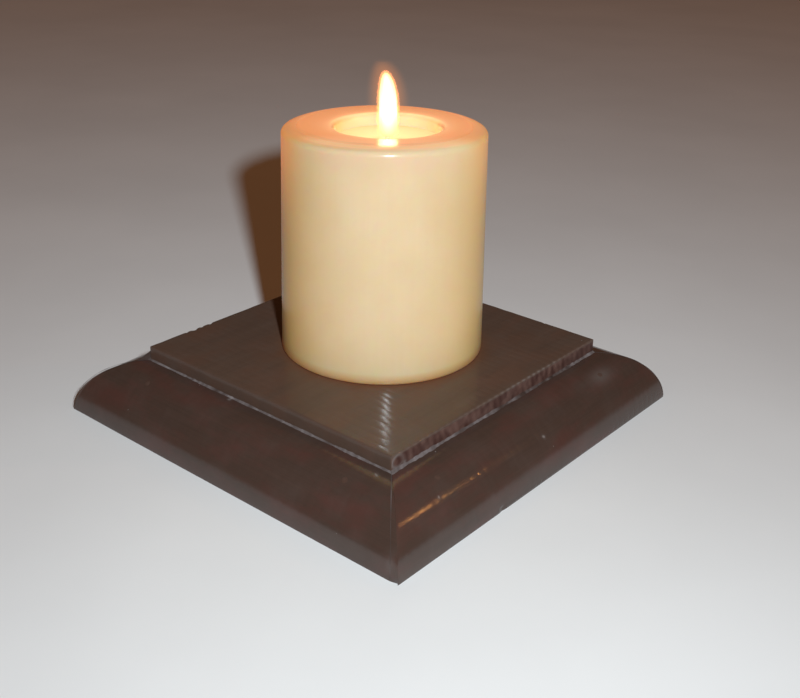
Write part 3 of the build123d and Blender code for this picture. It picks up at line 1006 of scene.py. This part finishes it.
# The burnt top falls away a little to the left, and its edge stands higher at the front.
fall = np.array([-0.32, 0.15]) * mm / candle_radius
top_share = np.clip((height - pool_level - 1 * mm) / (3 * mm), 0, 1)
wax[..., 2] -= top_share[:, None] * ((wax[..., :2] - candle_centre) @ fall)
front_way, left_way = np.array([0.655, -0.755]), np.array([-0.768, -0.641])
frontness = spokes @ front_way
brim_start, brim_width = 20 * mm, 14.4 * mm
brim = np.clip((radius - brim_start) / brim_width, 0, 1) ** 2 * top_share
wax[..., 2] += brim[:, None] * mm * np.where(frontness > 0, 0.95, 0.2) * frontness**2
print("highest wax", round(1000 * wax[..., 2].max(), 2), "mm")

# %% Marks on the wax
# Those that are one value for each ring are the same all the way round.
flank = 0.5 + 0.5 * (spokes @ left_way)
ahead = radius[:, None] * frontness
wall_from = 32 * mm  # a radius that only the wall and its rim pass
on_wall = np.clip((radius - wall_from) / (2 * mm), 0, 1)[:, None]
on_wall = on_wall * np.clip(1.4 - np.abs(frontness) * 2, 0, 1)
brow = (hump(height - wall_top, 3.5 * mm) * (radius > wall_from))[:, None]
# Besides wet and sunk, these marks place painted light and shade: key light on the fore crest, glow at the
# wall's brink, and shade on the flank, the brow and the foot.
candle_wax = skin("poured_wax", wax, ring=True, crease=50, marks={
    "wet": np.clip((31.5 * mm - radius) / (4 * mm), 0, 1) * shown,
    "sunk": np.clip((candle_top - 0.05 * mm - height) / (0.7 * mm), 0, 1) * (radius < lip_edge),
    "fore": np.clip((ahead - 15 * mm) / (9 * mm), 0, 1),
    "wall": on_wall * flank,
    "flank": np.broadcast_to(flank, wax.shape[:2]),
    "brow": brow * np.clip(frontness * 3 - 1.8, 0, 1),
    "foot": hump(height - candle_foot, 1.8 * mm) * (radius > 30 * mm)})
dress(candle_wax, "candle", "ivory_wax", wax_finish, "candle_wax")

# %% [markdown]
# ## The melted wax
#
# Liquid wax fills the dish of the well and creeps up a little where it touches the well's
# wall and the wick. It is clear, but it lies on lit wax a few millimetres below, so it reads
# as an even, glowing yellow with a mirror-like face. Real transmission would show the dark
# inside of the dish, so the colour is given by glow, and the mirror by a low roughness.

# %% Pool finish
pool_finish, tree, shader = finish("liquid wax", IOR=1.44, Emission_Strength=1.0)
place = own_place(tree)
swirl = spread(tree, noise_at(tree, place, 160.0, 3.0), 0.35, 0.65)
painted_warm_share = glow_within(tree, flame_source, 8, 7)
feed(tree, shader, Base_Color=blend_colours(tree, swirl, (0.24, 0.13, 0.06), (0.28, 0.16, 0.07)),
     Emission_Color=blend_colours(tree, painted_warm_share, (0.80, 0.52, 0.225), (0.80, 0.68, 0.30)),
     Roughness=spread(tree, swirl, 0, 1, 0.02, 0.05),
     Normal=bump(tree, noise_at(tree, place, 90.0, 1.0), 0.02 * mm))

# %% Pool
clear_of_floor, into_wall = 0.03 * mm, 0.12 * mm
wall_creep, wick_creep = 0.35 * mm, 0.21 * mm  # how high the liquid climbs
pool_rings = [(bore, pool_floor + clear_of_floor), (flat_radius, pool_floor + clear_of_floor)]
pool_rings += [(radius, height + clear_of_floor) for radius, height in dish(np.linspace(75, 15, 5))]
for off in np.array([0, 0.25, 0.6, 1.2, 2.2, 4, 7, 11, 14, 15.2, 15.8]) * mm:
    radius = pool_radius + into_wall - off
    rise = wall_creep * np.exp(-off / (0.8 * mm)) + wick_creep * np.exp((bore - radius) / (0.6 * mm))
    pool_rings.append((radius, pool_level + rise))
pool_rings.append((bore, pool_level + wick_creep))
radius, height = np.array(pool_rings).T
melt_pool = skin("melted_wax", turned(wick_centre, radius, height, spin), ring=True, crease=50)
dress(melt_pool, "candle", "liquid_wax", pool_finish, "melt_pool")

# %% [markdown]
# ## The wick
#
# A candle wick is a braid of cotton, stiff with wax. Above the pool it is charred black, and
# it curls over so that its tip burns away at the flame's edge. Three lobes that twist along
# the path give the braid. The path goes straight up through the bore and ends in an arc.

# %% Wick finish
wick_finish, tree, shader = finish(
    "braided wick", Roughness=0.85, Specular_IOR_Level=0.2, Emission_Strength=3.0)
place = own_place(tree)
strands = noise_at(tree, place, (2500, 2500, 900), 3.0)
cotton = blend_colours(tree, strands, (0.55, 0.46, 0.30), (0.70, 0.60, 0.42))
char = blend_colours(tree, strands, (0.010, 0.008, 0.007), (0.035, 0.026, 0.02))
colour = blend_colours(tree, mark(tree, "burnt"), cotton, char)
feed(tree, shader, Base_Color=dusted(tree, place, colour, 0.1, 0.1, (0.12, 0.10, 0.09)),
     Emission_Color=blend_colours(tree, mark(tree, "ember"), (0, 0, 0), (1.0, 0.25, 0.03)),
     Normal=bump(tree, strands, 0.06 * mm))

# %% The wick's path and its braid
straight_top, bend_radius = pool_level + 1.8 * mm, 10 * mm
bend, curl_heading = radians(25), radians(215)
hidden = np.linspace(candle_foot + 0.3 * mm, pool_level - 1.5 * mm, 30)
shown = np.arange(pool_level - 1.2 * mm, straight_top, 0.18 * mm)
curl, upwards = np.array([cos(curl_heading), sin(curl_heading), 0]), np.array([0, 0, 1])
path, ways = [], []
for height in np.concatenate([hidden, shown]):
    path.append([*wick_centre, height])
    ways.append(upwards)
for turn in np.linspace(0, bend, 24):
    off = bend_radius * ((1 - cos(turn)) * curl + sin(turn) * upwards)
    path.append(np.array([*wick_centre, straight_top]) + off)
    ways.append(sin(turn) * curl + cos(turn) * upwards)
path, ways = np.array(path), np.array(ways)
run = np.concatenate([[0], np.cumsum(np.linalg.norm(np.diff(path, axis=0), axis=1))])
beside = np.cross(curl, upwards)
across = np.cross(ways, beside)
lobes = np.radians(np.arange(0, 360, 15))
widest, groove, lay = 0.88 * mm, 0.14, 5 * mm  # a groove is a share of the radius
twist = 2 * pi * run / lay
wick_radius = widest * (1 - groove * (0.5 - 0.5 * np.cos(3 * lobes[None] - twist[:, None])))
to_tip = run[-1] - run
wick_radius = wick_radius * (1 - 0.7 * hump(to_tip, 0.5 * mm))[:, None]
braid = path[:, None] + wick_radius[..., None] * (
    np.cos(lobes)[None, :, None] * across[:, None] + np.sin(lobes)[None, :, None] * beside)
burnt = np.clip((path[:, 2] - pool_level - 0.7 * mm) / (1.0 * mm), 0, 1)
wick = skin("braided_wick", braid, crease=60, marks={"burnt": burnt, "ember": hump(to_tip, 0.7 * mm)})
dress(wick, "candle", "wick_cotton", wick_finish, "wick")

# %% [markdown]
# ## The flame
#
# A candle flame is glowing soot: clear at its foot, blinding over most of its height, and
# orange only at its rim. Three closed shells give that: a bright body, a thin, half clear
# mantle round it, and a wide, faint halo for the glow that the eye sees about a flame. The
# body's strength is far above white, so that it burns out in the picture, mirrors in the wet
# wax and lights the candle's top in orange. It leans a little, with one side nearly upright.
# None of the shells casts a shadow.

# %% A flame's outline and finish
flame_lean = np.array([-0.76, -0.65]) * 0.95 * mm
flame_width, belly = 3.0 * mm, 1.6 * mm
flame_height = flame_tip - flame_foot


def flame_shell(name, grow, material, *nodes):
    """A flame's outline, grown by a margin, as rings that lean over towards the tip."""
    rise = (1 - np.cos(np.linspace(0.02, pi - 0.02, 60))) / 2
    climb = rise * (flame_height + 1.6 * grow) - 0.8 * grow
    low = np.clip(1 - (climb + grow) / (belly + grow), 0, 1)
    high = np.clip((climb - belly) / (flame_height + grow - belly), 0, 1)
    width = (flame_width + grow) * np.sqrt(np.clip(1 - low**3, 0, 1)) * np.sqrt(1 - high**3.4)
    middle_line = wick_centre + (climb.clip(0) / flame_height)[:, None] ** 3.5 * flame_lean
    height = np.maximum(flame_foot + climb, pool_level + 0.4 * mm)
    shell = turned(middle_line[:, None], width, height, lobes)
    piece = skin(name, shell, marks={"rise": np.clip(climb / flame_height, 0, 1)}, crease=80)
    piece.visible_shadow = False
    dress(piece, "candle", "flame", material, *nodes)


def flame_finish(name, strength):
    """A finish that only glows, its tree and shader, the height up the flame, and the share
    that falls as the shell turns side-on."""
    material, tree, shader = finish(
        name, Roughness=1.0, Specular_IOR_Level=0.0, Emission_Strength=strength)
    return material, tree, shader, mark(tree, "rise"), side_on(tree, 0.0, 1.0, 1.0, 0.0)

# %% The flame's body
body_finish, tree, shader, rise, square_on = flame_finish("flame body", 15.0)
body_colour = blend_colours(tree, spread(tree, rise, 0.6, 1.0), (1.0, 0.49, 0.26), (0.9, 0.40, 0.13))
core = calc(tree, "MULTIPLY_ADD", calc(tree, "POWER", square_on, 5.0), 0.66, 0.34)
body_colour = blend_colours(tree, core, (0, 0, 0), body_colour)
body_share = calc(tree, "POWER", spread(tree, rise, 0.0, 0.36), 2.0)
body_colour = blend_colours(tree, body_share, (0.080, 0.064, 0.024), body_colour)
feed(tree, shader, Base_Color=body_colour, Emission_Color=body_colour)
flame_shell("flame_body", 0.0, body_finish, "flame")

# %% Mantle and halo
mantle_finish, tree, shader, rise, square_on = flame_finish("flame mantle", 1.1)
rim_colour = blend_colours(tree, spread(tree, rise, 0.1, 0.9), (1.0, 0.58, 0.24), (1.0, 0.46, 0.22))
thin = times(tree, calc(tree, "POWER", square_on, 1.5), spread(tree, rise, 0.0, 0.2, 0.3, 0.5))
feed(tree, shader, Base_Color=rim_colour, Emission_Color=rim_colour, Alpha=thin)
flame_shell("flame_mantle", 1.0 * mm, mantle_finish)

halo_finish, tree, shader, rise, square_on = flame_finish("flame halo", 1.0)
halo_colour = blend_colours(tree, rise, (1.0, 0.42, 0.16), (1.0, 0.38, 0.15))
thin = times(tree, calc(tree, "POWER", square_on, 4.5), spread(tree, rise, 0.12, 0.55, 0.0, 0.27))
feed(tree, shader, Base_Color=(0, 0, 0), Emission_Color=halo_colour, Alpha=thin)
flame_shell("flame_halo", 5.2 * mm, halo_finish)
